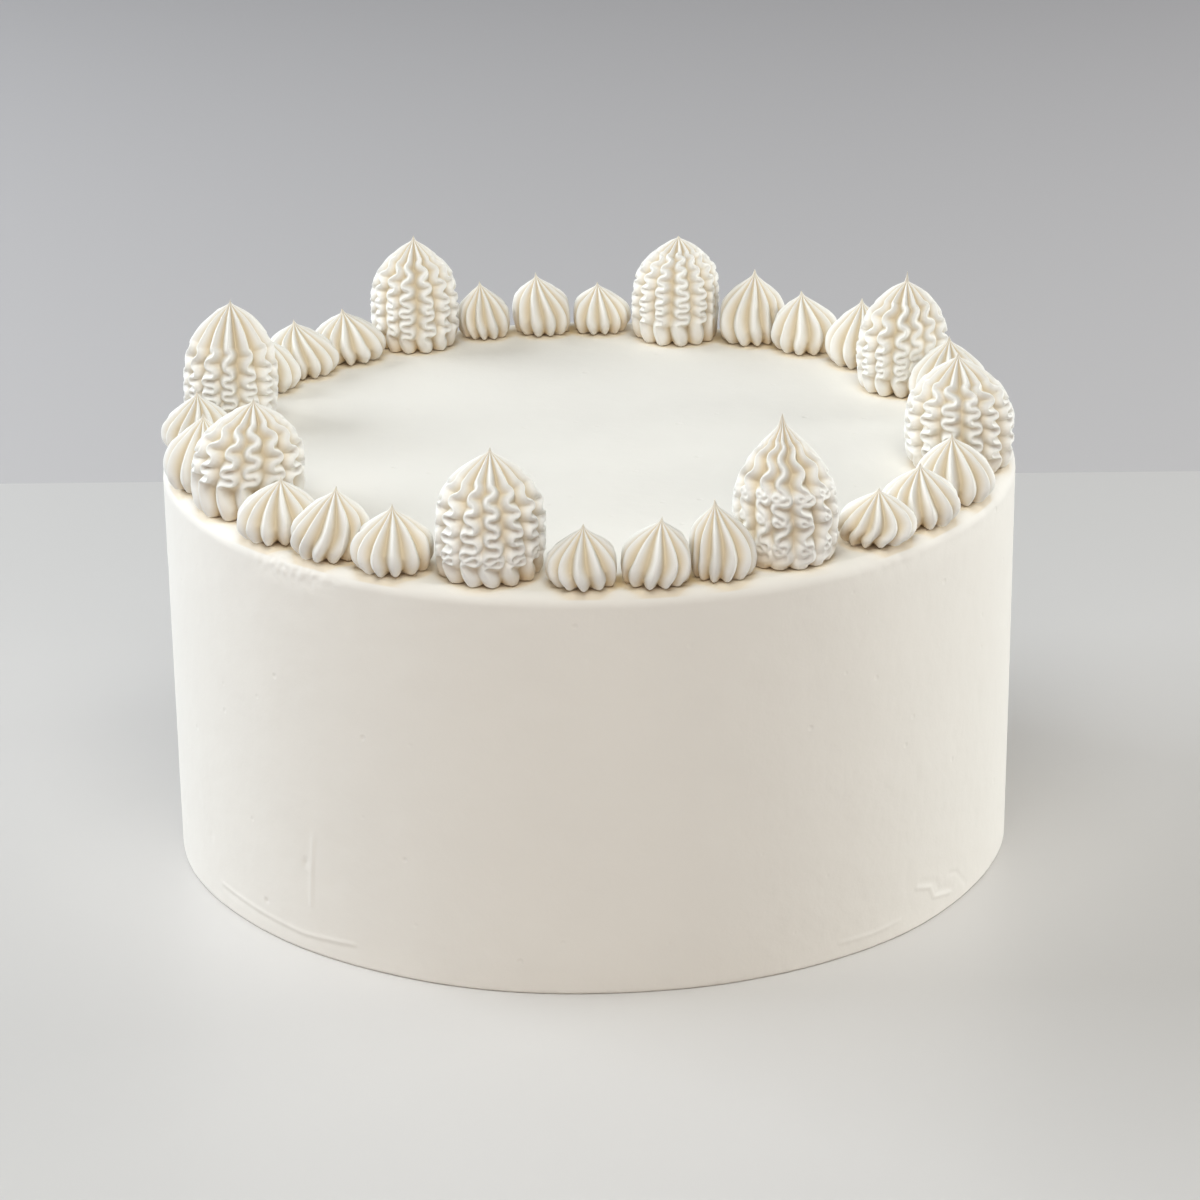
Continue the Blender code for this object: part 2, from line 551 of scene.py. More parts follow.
@dataclass
class Mound:
    """A piped mound whose ridges run from its tip to its foot.

    ridge_depth is the depth of the grooves as a share of the widest radius, and edge the
    half width of a ridge's sharp edge. deepest and sharpest limit both, as shares of half the
    ridges' spacing. sunk is how far the foot sinks into the icing below, and foot_round how
    high the rolls curl in. press is how wide the soft contact with a neighbour is. rolls is
    the share of the side, up from the foot, where the ridges turn into round rolls. rows and
    columns set how fine the mesh is, and ease how far it is smoothed.
    """

    site: Site
    neighbours: tuple[Site, Site]
    draw: random.Random
    outline: Outline
    ridges: int
    ridge_depth: float
    edge: float
    twist: float
    rows: int
    columns: int
    sunk: float = 0.4 * MILLIMETRE
    foot_round: float = 3.0 * MILLIMETRE
    foot_tuck: float = 0.13
    press: float = 2.2 * MILLIMETRE
    gap: float = 0.1 * MILLIMETRE
    lean_growth: float = 1.6
    lump: float = 8.0 * MILLIMETRE
    lump_depth: float = 0.45 * MILLIMETRE
    deepest: float = 1.1
    sharpest: float = 0.4
    rolls: float = 0.30
    ease: float = 0.5
    # Painted shade in the grooves and in the corners by the neighbours.
    painted_shade: PaintedShade = PaintedShade()

    def __post_init__(self) -> None:
        """Draw the mound's own turn and swirl, and measure along its outline."""
        self.spacing = 2.0 * math.pi / self.ridges
        self.start = self.draw.uniform(0.0, self.spacing)
        self.swirl = self.draw.uniform(-self.twist, self.twist)
        shares = np.linspace(0.0, 1.0, 600)
        self._radii = self.site.widest * self.outline.radius(shares)
        self._heights = shares * self.site.height
        steps = np.hypot(np.diff(self._radii), np.diff(self._heights))
        self._from_foot = np.concatenate(([0.0], np.cumsum(steps)))
        self.side_length = float(self._from_foot[-1])

    def surface(self, from_tip: ndarray) -> tuple[ndarray, ndarray]:
        """Find places on the crest envelope, at distances down from the tip.

        Args:
            from_tip: Distances along the side in metres.

        Returns:
            Radii and heights in metres.
        """
        from_foot = self.side_length - from_tip
        radius = np.interp(from_foot, self._from_foot, self._radii)
        height = np.interp(from_foot, self._from_foot, self._heights)
        return radius, height

    def turned(self) -> Mesh:
        """Turn the smooth envelope.

        Returns:
            A closed mesh with each vertex's distance from the tip.
        """
        down = np.linspace(self.side_length, 0.0, self.rows)
        radius, height = self.surface(down)
        side = np.column_stack((radius, height, down))
        side[-1, 0] = 0.0
        under = self.side_length + 1.0
        foot = np.array([[0.0, 0.0, under], [0.6 * radius[0], 0.0, under]])
        return TurnedForm(np.vstack((foot, side)), self.columns).build(self.site.node + "_icing")

    def relief(self, angle: ndarray, down: ndarray, points: ndarray) -> ndarray:
        """How far each place stands up towards the ridges' edges, from 0 to 1."""
        raise NotImplementedError

    def droop(self, down: ndarray) -> ndarray:
        """How far the ridges' edges sag, as a share of their depth."""
        return np.zeros_like(down)

    def rolled(self, down: ndarray) -> ndarray:
        """How far the ridges have turned into round rolls, from 0 to 1."""
        from_foot = (self.side_length - down) / self.side_length
        return 1.0 - smooth_step((from_foot - 0.35 * self.rolls) / self.rolls)

    def half_pitch(self, radius: ndarray) -> ndarray:
        """Half the spacing of the ridges at a radius, never quite 0."""
        return np.maximum(math.pi * radius / self.ridges, 1e-6)

    def slopes(self, down: ndarray) -> tuple[ndarray, ndarray]:
        """Find the direction of the envelope's side, down from the tip.

        Args:
            down: Distances from the tip.

        Returns:
            How far it runs outwards and how far it drops, for each metre.
        """
        step = 0.3 * MILLIMETRE
        above_radius, above_height = self.surface(np.maximum(down - step, 0.0))
        below_radius, below_height = self.surface(np.minimum(down + step, self.side_length))
        run = below_radius - above_radius
        drop = above_height - below_height
        length = np.maximum(np.hypot(run, drop), 1e-9)
        return run / length, drop / length

    def carve(self, points: ndarray, down: ndarray) -> tuple[ndarray, ndarray]:
        """Cut the grooves into the turned envelope.

        Args:
            points: Vertices of the turned envelope, round the Z axis.
            down: Their distances from the tip, longer than the side on the underside.

        Returns:
            The moved vertices, and how far each stands up towards a ridge's edge.
        """
        on_side = down <= self.side_length + 0.5
        down = np.minimum(down, self.side_length)
        angle = np.arctan2(points[:, 1], points[:, 0])
        radius, height = self.surface(down)
        raised = self.relief(angle, down, points)
        depth = self.deepest * math.pi * radius / self.ridges
        depth = np.minimum(self.ridge_depth * self.site.widest, depth)
        lumps = rough_field(points, self.lump, self.start * 7.0 + self.ridges)
        inset = depth * (1.0 - raised) + self.lump_depth * np.abs(lumps)
        sag = self.droop(down) * depth * raised
        run, drop = self.slopes(down)
        new_radius = radius - inset * drop + sag * run
        new_height = height - inset * run - sag * drop
        curl = 1.0 - np.sqrt(1.0 - (1.0 - np.clip(new_height / self.foot_round, 0.0, 1.0)) ** 2)
        new_radius = np.maximum(new_radius, 0.0) * (1.0 - self.foot_tuck * curl)
        foot_radius = np.linalg.norm(points[:, :2], axis=1)
        new_radius = np.where(on_side, new_radius, 0.8 * foot_radius)
        new_height = np.where(on_side, np.clip(new_height, 0.0, self.site.height), 0.0)
        moved = np.column_stack((new_radius * np.cos(angle), new_radius * np.sin(angle),
                                 new_height))
        return moved, raised

    def pressed(self, points: ndarray) -> ndarray:
        """Ease the mound up to the planes where it meets its neighbours.

        Args:
            points: The mound's vertices, with its foot at the origin.

        Returns:
            The moved vertices.
        """
        for other in self.neighbours:
            apart = np.array(other.centre - self.site.centre)
            reach = float(np.linalg.norm(apart))
            towards = apart / reach
            limit = reach * self.site.widest / (self.site.widest + other.widest) - 0.5 * self.gap
            start = limit - self.press
            distance = points @ towards
            eased = limit - self.press * np.exp(-np.maximum(distance - start, 0.0) / self.press)
            points = points + np.outer(np.where(distance > start, eased - distance, 0.0), towards)
        return points

    def build(self, finish: Material) -> Object:
        """Make the mound and dress it.

        Args:
            finish: Material of the piped icing.

        Returns:
            The mound's object, riding on the cake in place of its solid.
        """
        mesh = self.turned()
        moved, raised = self.carve(get_points(mesh), get_mark(mesh, Mark.ALONG))
        height = moved[:, 2].copy()
        share = np.clip(height / self.site.height, 0.0, 1.0)
        moved = moved + np.outer(share ** self.lean_growth, np.array(self.site.lean))
        moved = self.pressed(moved)
        # How far each place has come towards a neighbour, for the painted shade in the corners.
        ways = [(other.centre - self.site.centre).xy for other in self.neighbours]
        near = np.max([moved[:, :2] @ np.array(way.normalized()) for way in ways], axis=0)
        near = np.clip(near / self.site.widest, 0.0, 1.0)
        moved[:, 2] -= self.sunk * (1.0 - smooth_step(share / 0.1))
        set_points(mesh, moved + np.array(self.site.centre))
        # Paint shade into the grooves, low down and by the neighbours.
        self.painted_shade.store(mesh, height, raised, near)
        ease_mesh(mesh, self.ease)
        obj = add_object(self.site.node + "_icing", mesh)
        mesh.materials.append(finish)
        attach(obj, BODY)
        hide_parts(self.site.node)
        return obj


@dataclass
class StarMound(Mound):
    """A small mound: one squeeze of a star nozzle, with plain ridges and a pulled tip.

    bow is how far the ridges bend sideways half way down, in radians, and uneven how far they
    stray. crisp and roll_crisp are the shares of the sharp edge in a ridge and in a roll.
    """

    outline: Outline = STAR
    ridges: int = 12
    ridge_depth: float = 0.265
    edge: float = 0.55 * MILLIMETRE
    twist: float = 0.35
    rows: int = 42
    columns: int = 132
    bow: float = 0.20
    uneven: float = 0.10
    crisp: float = 0.26
    roll_crisp: float = 0.12

    def relief(self, angle: ndarray, down: ndarray, points: ndarray) -> ndarray:
        """Ridges that run down with a slight swirl.

        Args:
            angle: Directions of the places from the mound's axis.
            down: Their distances from the tip.
            points: The places on the smooth envelope, one row each; not used here.

        Returns:
            How far each place stands up towards a ridge's edge, from 0 to 1.
        """
        radius, height = self.surface(down)
        share = height / self.site.height
        bend = self.draw.uniform(-self.bow, self.bow) * np.sin(math.pi * share)
        turned = angle - self.start - self.swirl * share - bend
        stray = np.sin(2.0 * turned + self.draw.uniform(0.0, 6.0))
        turned = turned + self.uneven * self.spacing * stray
        phase = np.abs((turned / self.spacing + 0.5) % 1.0 - 0.5) * 2.0
        half_pitch = self.half_pitch(radius)
        width = np.minimum(self.edge, self.sharpest * half_pitch)
        edge = np.exp(-(phase * half_pitch / width) ** 1.6)
        pleat = self.crisp * edge + (1.0 - self.crisp) * (1.0 - phase ** 1.45)
        roll = self.roll_crisp * edge + (1.0 - self.roll_crisp) * (1.0 - phase ** 2.2)
        rolled = self.rolled(down)
        return (1.0 - rolled) * pleat + rolled * roll


@dataclass(frozen=True)
class Ruffle:
    """How the ridges of one tall mound fold.

    top and foot are the shares of the way down between which they fold. swing_top and
    swing_foot are how far they wander from side to side there, in metres, and turn_top and
    turn_foot how far they turn from straight down, in radians: over a right angle they
    double back. piles are shares of the way down where they pile up into tight curls, with
    pile_turn added to their turn and their swing larger by pile_swing, within pile_reach.
    rolls is the share of the side, up from the foot, where they end in round rolls.
    """

    top: float
    foot: float
    swing_top: float
    swing_foot: float
    turn_top: float
    turn_foot: float
    piles: tuple[float, ...] = ()
    rolls: float = 0.13
    pile_turn: float = 0.9
    pile_swing: float = 0.35
    pile_reach: float = 0.035


@dataclass
class RuffledMound(Mound):
    """A tall mound whose ridges fold from side to side as the icing piles up.

    The spreads are the ranges of the random draws for each fold's turn and swing and for each
    ridge's swing, which also changes by wander on its way. slip is how far a ridge's folds lie
    up or down, and stray how far the ridge lies aside. crisp and roll_crisp are the shares of
    the sharp edge in a ridge, with crisp_folds more in the folds, and in a roll. sag is how far
    the edges hang. settle is how soon the folds begin and end.
    """

    outline: Outline = DOME
    ridges: int = 13
    ridge_depth: float = 0.30
    edge: float = 0.85 * MILLIMETRE
    twist: float = 0.10
    rows: int = 134
    columns: int = 264
    ruffle: Ruffle = Ruffle(0.27, 0.84, 0.0026, 0.0062, 0.9, 1.9)
    path_step: float = 0.12 * MILLIMETRE
    turn_spread: Pair = (0.88, 1.12)
    most_turn: float = 2.25
    swing_spread: Pair = (0.86, 1.10)
    ridge_spread: Pair = (0.80, 1.08)
    wander: float = 0.17
    slip: float = 0.8 * MILLIMETRE
    stray: float = 0.09
    crisp: float = 0.22
    crisp_folds: float = 0.26
    roll_crisp: float = 0.10
    sag: float = 0.24
    settle: Pair = (0.2, 0.08)

    def __post_init__(self) -> None:
        """Take the length of the rolls from the ruffle."""
        self.rolls = self.ruffle.rolls
        super().__post_init__()

    def piled(self, share: float) -> float:
        """Find how far the icing piles up into tight curls.

        Args:
            share: Share of the way down.

        Returns:
            From 0, not at all, to 1.
        """
        reach = self.ruffle.pile_reach
        return max((math.exp(-((share - pile) / reach) ** 2) for pile in self.ruffle.piles),
                   default=0.0)

    def turn_at(self, share: float) -> float:
        """Draw how far a ridge turns from straight down.

        Args:
            share: Share of the way down.

        Returns:
            The turn in radians.
        """
        ruffle = self.ruffle
        grown = max(0.0, (share - ruffle.top) / (ruffle.foot - ruffle.top))
        turn = ruffle.turn_top + (ruffle.turn_foot - ruffle.turn_top) * grown ** 0.7
        turn += ruffle.pile_turn * self.piled(share)
        return min(turn * self.draw.uniform(*self.turn_spread), self.most_turn)

    def plan_folds(self) -> tuple[ndarray, ndarray]:
        """Work out the path that all the ridges share.

        Returns:
            Distances sideways and down from the tip, in even steps along the path.
        """
        ruffle = self.ruffle
        top = ruffle.top * self.side_length
        foot = ruffle.foot * self.side_length
        straight = np.linspace(0.0, top, int(top / self.path_step))
        down = list(straight)
        sideways = [0.0] * len(straight)
        side = self.draw.choice((-1.0, 1.0))
        even = np.linspace(0.0, 1.0, 64)
        while down[-1] < foot:
            grown = (down[-1] - top) / (foot - top)
            swing = ruffle.swing_top + (ruffle.swing_foot - ruffle.swing_top) * grown ** 0.8
            share = down[-1] / self.side_length
            swing *= 1.0 + ruffle.pile_swing * self.piled(share)
            turn = self.turn_at(share)
            target = side * 0.5 * swing * self.draw.uniform(*self.swing_spread)
            reach = abs(target - sideways[-1])
            length = reach / np.mean(np.sin(turn * np.sin(math.pi * even)))
            count = max(6, int(length / self.path_step))
            heading = turn * np.sin(math.pi * (np.arange(count) + 0.5) / count)
            way = math.copysign(1.0, target - sideways[-1])
            sideways.extend(sideways[-1] + way * np.cumsum(np.sin(heading)) * length / count)
            down.extend(down[-1] + np.cumsum(np.cos(heading)) * length / count)
            side = -side
        left = self.side_length - down[-1]
        ease = np.linspace(0.0, 1.0, max(4, int(left / self.path_step)))[1:]
        sideways.extend(sideways[-1] * (1.0 - 0.8 * smooth_step(ease)))
        down.extend(down[-1] + left * ease)
        return np.array(sideways), np.array(down)

    def ridge_lines(self) -> tuple[ndarray, ndarray]:
        """Lay the path once for each ridge.

        Returns:
            Points on the ridges' edges, and the number of the ridge that each is on.
        """
        sideways, down = self.plan_folds()
        share = np.clip(down / self.side_length, 0.0, 1.0)
        lines = []
        numbers = []
        for ridge in range(self.ridges):
            wide = sideways * self.draw.uniform(*self.ridge_spread)
            wide *= 1.0 + self.wander * np.sin(9.0 * share + self.draw.uniform(0.0, 6.0))
            shift = self.draw.uniform(-self.slip, self.slip) * np.sin(math.pi * share)
            here = np.clip(down + shift, 0.0, self.side_length)
            radius, height = self.surface(here)
            lane = ridge + self.draw.uniform(-self.stray, self.stray)
            turned = self.start + lane * self.spacing + self.swirl * height / self.site.height
            turned += wide / np.maximum(radius, 0.15 * self.site.widest)
            across = (radius * np.cos(turned), radius * np.sin(turned))
            lines.append(np.column_stack((*across, height)))
            numbers.append(np.full(len(here), ridge))
        return np.vstack(lines), np.concatenate(numbers)

    def to_nearest_edge(self, points: ndarray) -> ndarray:
        """Distance of each place to the nearest folded edge.

        Args:
            points: Places on the smooth envelope, one row each.

        Returns:
            Distances in metres.
        """
        line, number = self.ridge_lines()
        tree = kdtree.KDTree(len(line))
        for index, point in enumerate(line):
            tree.insert(point, index)
        tree.balance()
        nearest = np.array([tree.find(point)[1] for point in points])
        distance = np.full(len(points), 1.0)
        for side in (-1, 1):
            other = np.clip(nearest + side, 0, len(line) - 1)
            other = np.where(number[other] == number[nearest], other, nearest)
            span = line[other] - line[nearest]
            length = np.maximum(np.einsum("ij,ij->i", span, span), 1e-18)
            share = np.clip(np.einsum("ij,ij->i", points - line[nearest], span) / length, 0.0, 1.0)
            closest = line[nearest] + share[:, None] * span
            distance = np.minimum(distance, np.linalg.norm(points - closest, axis=1))
        return distance

    def relief(self, angle: ndarray, down: ndarray, points: ndarray) -> ndarray:
        """Ridges by the distance of each place to the nearest folded edge.

        Args:
            angle: Directions of the places from the mound's axis; not used here.
            down: Their distances from the tip.
            points: The places on the smooth envelope, one row each.

        Returns:
            How far each place stands up towards a ridge's edge, from 0 to 1.
        """
        distance = self.to_nearest_edge(points)
        radius, _ = self.surface(down)
        half_pitch = self.half_pitch(radius)
        width = np.minimum(self.edge, self.sharpest * half_pitch)
        apart = np.clip(distance / half_pitch, 0.0, 1.0)
        edge = np.exp(-(distance / width) ** 1.7)
        share = down / self.side_length
        begun = smooth_step((share - self.ruffle.top + 0.06) / self.settle[0])
        crisp = self.crisp + self.crisp_folds * begun
        fold = crisp * edge + (1.0 - crisp) * (1.0 - apart ** 1.5)
        round_top = (1.0 - apart ** 2.4) ** 0.8
        roll = self.roll_crisp * edge + (1.0 - self.roll_crisp) * round_top
        rolled = self.rolled(down)
        return (1.0 - rolled) * fold + rolled * roll

    def droop(self, down: ndarray) -> ndarray:
        """The folded edges sag over the fold below them.

        Args:
            down: Distances from the tip.

        Returns:
            How far the edges sag, as a share of their depth.
        """
        share = down / self.side_length
        begun = smooth_step((share - self.ruffle.top) / self.settle[0])
        ended = smooth_step((share - self.ruffle.foot) / self.settle[1])
        return self.sag * begun * (1.0 - ended)


@dataclass(frozen=True)
class Scratch:
    """A raised or sunk line in the side's icing.

    course has the direction in degrees and the height in millimetres of each of its points.
    width is its half width and lift how far it stands out, less than 0 for a groove.
    """

    course: tuple[Pair, ...]
    width: float
    lift: float

    def offset(self, turn: ndarray, height: ndarray, radius: float) -> ndarray:
        """How far the line moves each place outwards.

        Args:
            turn: Directions of the places in radians.
            height: Their heights in metres.
            radius: Radius of the side.

        Returns:
            Distances outwards in metres.
        """
        course = [(math.radians(way) * radius, high * MILLIMETRE) for way, high in self.course]
        across = turn * radius
        nearest = np.full(len(turn), 1.0)
        for (x0, z0), (x1, z1) in zip(course, course[1:] or course):
            length = max((x1 - x0) ** 2 + (z1 - z0) ** 2, 1e-12)
            share = ((across - x0) * (x1 - x0) + (height - z0) * (z1 - z0)) / length
            share = np.clip(share, 0.0, 1.0)
            apart = np.hypot(across - x0 - share * (x1 - x0), height - z0 - share * (z1 - z0))
            nearest = np.minimum(nearest, apart)
        return self.lift * np.exp(-(nearest / self.width) ** 2)


@dataclass(frozen=True)
class RoughPatch:
    """A patch of the rim that the spatula left rough or bevelled.

    way and reach are its middle and half length in degrees. bumps is how rough it is, grain
    the size of the bumps, and bevel how far the rim draws in, all in metres.
    """

    way: float
    reach: float
    bumps: float
    grain: float
    bevel: float


SCRATCHES = (
    Scratch(((-150.0, 6.5), (-139.2, 5.6), (-131.3, 4.9), (-123.0, 6.2)), 0.00042, 0.00025),
    Scratch(((-150.0, 5.3), (-139.2, 4.4), (-131.3, 3.7), (-123.0, 5.0)), 0.0008, -0.00012),
    Scratch(((-129.2, 33.5), (-129.7, 24.1), (-130.0, 13.9)), 0.00055, 0.00018),
    Scratch(((-128.6, 33.0), (-129.1, 24.1), (-129.4, 14.5)), 0.0008, -0.00006),
    Scratch(((-42.0, 11.8), (-38.8, 9.7), (-37.9, 6.3), (-33.5, 4.3)), 0.00045, 0.00026),
    Scratch(((-41.0, 12.8), (-37.6, 10.6), (-36.6, 7.6), (-33.2, 5.6)), 0.0011, -0.00014),
    Scratch(((-34.0, 10.2), (-31.9, 9.0), (-28.9, 3.4)), 0.0006, -0.00016),
    Scratch(((-56.0, 4.6), (-50.0, 4.2), (-45.5, 4.8)), 0.0005, 0.00018),
    Scratch(((-153.0, 18.5),), 0.0006, -0.0005),
    Scratch(((-130.8, 25.5),), 0.0007, -0.0006),
    Scratch(((-138.9, 9.6),), 0.0006, -0.0005),
)
ROUGH_PATCHES = (
    RoughPatch(way=-131.0, reach=7.0, bumps=0.0004, grain=0.0016, bevel=0.0001),
    RoughPatch(way=-30.0, reach=15.0, bumps=0.00015, grain=0.0040, bevel=0.0002),
    RoughPatch(way=-48.0, reach=5.0, bumps=0.00018, grain=0.0024, bevel=0.0001),
    RoughPatch(way=60.0, reach=12.0, bumps=0.0005, grain=0.0026, bevel=0.0007),
    RoughPatch(way=152.0, reach=9.0, bumps=0.0006, grain=0.0024, bevel=0.0005),
)


@dataclass
class IcedCake:
    """The cake's smooth icing: a soft rim, a slightly uneven side and a level top.

    The side stands in from the solid's by the same shallow waves, given as how many go
    round, how deep each is and where it starts. bands are the heights in millimetres between
    which the mesh has rows of a given height, and rings the same across the top. Its columns
    crowd on the front and near mark_ways, within so many degrees. streak and ripple are the
    depths of the long and short marks of the spatula, and dip that of the hollows in the top.
    From rim_start up the rim is rough in places. contact_shade_reach is how far the painted shade
    in the corner at a mound's foot reaches, and beside and between are its strengths next to one
    mound and between two.
    """

    sites: list[Site]
    node: str = "cake"
    foot_radius: float = 0.1150
    top_radius: float = 0.1158
    rim: float = 3.6 * MILLIMETRE
    foot_round: float = 0.7 * MILLIMETRE
    columns: int = 600
    bands: tuple[Triple, ...] = ((0.7, 14.0, 0.5), (14.0, 36.0, 1.0), (36.0, 97.0, 2.1),
                                 (97.0, 106.0, 0.7))
    rings: tuple[Triple, ...] = ((112.2, 84.0, 0.85), (84.0, 0.0, 7.0))
    side_waves: tuple[Triple, ...] = ((3, 0.00022, 0.6), (7, 0.00016, 2.1), (12, 0.00012, 4.4))
    side_slant: float = 1.3
    front_reach: float = 62.0
    mark_ways: Pair = (-137.0, -35.0)
    mark_reach: float = 17.0
    streak: float = 0.12 * MILLIMETRE
    streak_size: float = 14.0 * MILLIMETRE
    streak_squeeze: float = 0.22
    ripple: float = 0.05 * MILLIMETRE
    ripple_size: float = 4.0 * MILLIMETRE
    dip: float = 0.12 * MILLIMETRE
    dip_size: float = 30.0 * MILLIMETRE
    rim_start: float = 0.1010
    rim_fade: float = 0.0060
    contact_shade_reach: float = 0.9 * MILLIMETRE
    foot_share: float = 0.88
    beside: float = 0.35
    between: float = 0.60

    def __post_init__(self) -> None:
        """Read the height from the solid."""
        self.height = float(get_points(frame["nodes"][self.node].data)[:, 2].max())

    def profile(self) -> ndarray:
        """Half outline from the middle of the foot to the middle of the top.

        Returns:
            Rows of radius, height and distance along the outline.
        """
        rows = [(0.0, 0.0), (0.6 * self.foot_radius, 0.0)]
        for turn in np.linspace(0.0, 0.5 * math.pi, 5):
            rows.append((self.foot_radius - self.foot_round * (1.0 - math.sin(turn)),
                         self.foot_round * (1.0 - math.cos(turn))))
        for low, high, step in self.bands:
            count = round((high - low) / step)
            for height in np.linspace(low, high, count + 1)[1:] * MILLIMETRE:
                growth = (self.top_radius - self.foot_radius) * height / self.height
                rows.append((self.foot_radius + growth, height))
        rows.pop()
        for turn in np.linspace(0.0, 0.5 * math.pi, 12):
            rows.append((self.top_radius - self.rim * (1.0 - math.cos(turn)),
                         self.height - self.rim * (1.0 - math.sin(turn))))
        for outer, inner, step in self.rings:
            count = round((outer - inner) / step)
            rows.extend((radius * MILLIMETRE, self.height)
                        for radius in np.linspace(outer, inner, count + 1)[1:])
        table = np.array(rows)
        steps = np.hypot(np.diff(table[:, 0]), np.diff(table[:, 1]))
        return np.column_stack((table, np.concatenate(([0.0], np.cumsum(steps)))))

    def spread_columns(self, turn: ndarray) -> ndarray:
        """Draw the mesh's columns together where the icing has marks.

        Args:
            turn: Directions of evenly spread columns in radians.

        Returns:
            Their new directions.
        """
        ways = np.radians(np.linspace(-180.0, 180.0, 2881))
        front = 1.2 * np.exp(-((ways + 0.5 * math.pi) / math.radians(self.front_reach)) ** 6)
        reach = math.radians(self.mark_reach)
        marks = sum(np.exp(-((ways - math.radians(way)) / reach) ** 2) for way in self.mark_ways)
        crowd = 1.0 + front + marks
        total = np.concatenate(([0.0], np.cumsum(0.5 * (crowd[1:] + crowd[:-1]))))
        return np.interp((turn + math.pi) / (2.0 * math.pi), total / total[-1], ways)

    def side_offset(self, turn: ndarray, height: ndarray, points: ndarray) -> ndarray:
        """Find how far the side stands in from the plain turned shape.

        Args:
            turn: Directions of the places in radians.
            height: Their heights in metres.
            points: The places, one row each.

        Returns:
            Distances inwards in metres.
        """
        share = height / self.height
        inset = np.zeros(len(turn))
        for count, amount, start in self.side_waves:
            inset += amount * (1.0 - np.sin(count * turn + start + self.side_slant * share))
        stretched = points * np.array((1.0, 1.0, self.streak_squeeze))
        inset += self.streak * (0.5 + 0.5 * rough_field(stretched, self.streak_size, 3.0))
        inset += self.ripple * rough_field(points, self.ripple_size, 8.0)
        rim_share = smooth_step((height - self.rim_start) / self.rim_fade)
        for patch in ROUGH_PATCHES:
            away = np.degrees(np.angle(np.exp(1j * (turn - math.radians(patch.way)))))
            window = np.exp(-(away / patch.reach) ** 4) * rim_share
            busy = window > 0.01
            bumps = np.zeros(len(turn))
            bumps[busy] = rough_field(points[busy], patch.grain, patch.way)
            inset += window * (patch.bevel + patch.bumps * (0.6 + 0.9 * bumps))
        for scratch in SCRATCHES:
            inset -= scratch.offset(turn, height, self.foot_radius)
        return inset

    def shade_near_mounds(self, points: ndarray) -> ndarray:
        """Find how much painted shade each place of the top gets close to the mounds' feet, most
        between two of them.

        Args:
            points: Places on the icing, one row each.

        Returns:
            From 0, not near one, to 1.
        """
        beside = np.zeros(len(points))
        close = np.zeros(len(points))
        for site in self.sites:
            apart = np.linalg.norm(points[:, :2] - np.array(site.centre)[:2], axis=1)
            gap = np.maximum(apart - self.foot_share * site.widest, 0.0)
            beside = np.maximum(beside, np.exp(-gap / self.contact_shade_reach))
            close += np.exp(-gap / (2.2 * self.contact_shade_reach))
        corner = np.clip(close - 0.9, 0.0, 1.0)
        on_top = points[:, 2] > self.height - 1.5 * MILLIMETRE
        return np.clip(self.beside * beside + self.between * corner, 0.0, 1.0) * on_top

    def build(self, finish: Material) -> Object:
        """Make the iced body and dress it.

        Args:
            finish: Material of the smooth icing.

        Returns:
            The icing's object, riding on the cake in place of its solid.
        """
        mesh = TurnedForm(self.profile(), self.columns).build("cake_icing")
        points = get_points(mesh)
        radius = np.linalg.norm(points[:, :2], axis=1)
        turn = self.spread_columns(np.arctan2(points[:, 1], points[:, 0]))
        points[:, 0] = radius * np.cos(turn)
        points[:, 1] = radius * np.sin(turn)
        inset = self.side_offset(turn, points[:, 2], points)
        outer = smooth_step((radius / self.foot_radius - 0.55) / 0.35)
        on_top = points[:, 2] > self.height - 0.01 * MILLIMETRE
        dip = self.dip * (0.5 + 0.5 * rough_field(points, self.dip_size, 5.0))
        points[:, 2] -= np.where(on_top, dip, 0.0)
        scale = np.where(radius > 1e-6, 1.0 - outer * inset / np.maximum(radius, 1e-6), 1.0)
        points[:, 0] *= scale
        points[:, 1] *= scale
        set_points(mesh, points)
        # Painted shade on the top round the mounds' feet; the smooth icing has no grooves to
        # shade.
        set_mark(mesh, Mark.CONTACT_SHADE, self.shade_near_mounds(points))
        set_mark(mesh, Mark.GROOVE_SHADE, np.zeros(len(points)))
        obj = add_object("cake_icing", mesh)
        mesh.materials.append(finish)
        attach(obj, BODY)
        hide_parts(self.node)
        return obj


@dataclass(frozen=True)
class PlainFinish:
    """A plain matt paint for the table and the backdrop."""

    name: str
    colour: Triple
    roughness: float

    def make(self) -> Material:
        """Build the material.

        Returns:
            The finished material.
        """
        material = bpy.data.materials.new(self.name)
        material.use_nodes = True
        shader = material.node_tree.nodes["Principled BSDF"]
        shader.inputs["Base Color"].default_value = (*self.colour, 1.0)
        shader.inputs["Roughness"].default_value = self.roughness
        return material


TABLE_PAINT = PlainFinish("table_paint", (0.64, 0.625, 0.61), 0.45)
BACKDROP_PAPER = PlainFinish("backdrop_paper", (0.51, 0.495, 0.495), 0.9)


@dataclass(frozen=True)
class SoftLight:
    """A square soft box: where it hangs, the length of its side, its power and its colour."""

    name: str
    place: Triple
    size: float
    power: float
    colour: Triple


SOFT_LIGHTS = (
    SoftLight("left_window", (-1.3, 0.35, 0.75), 1.0, 18.0, (0.90, 0.95, 1.0)),
    SoftLight("left_back", (-1.0, 0.95, 0.55), 0.8, 4.2, (0.84, 0.91, 1.0)),
    SoftLight("right_back", (1.0, 0.95, 0.55), 0.8, 3.6, (0.95, 0.95, 1.0)),
    SoftLight("right_low", (1.2, 0.3, 0.25), 0.5, 8.9, (0.98, 1.0, 0.98)),
    SoftLight("overhead", (0.0, -0.7, 1.4), 1.0, 15.2, (0.97, 1.0, 0.975)),
    SoftLight("front_bounce", (0.0, -2.2, 0.9), 1.6, 9.4, (1.0, 0.76, 0.64)),
)


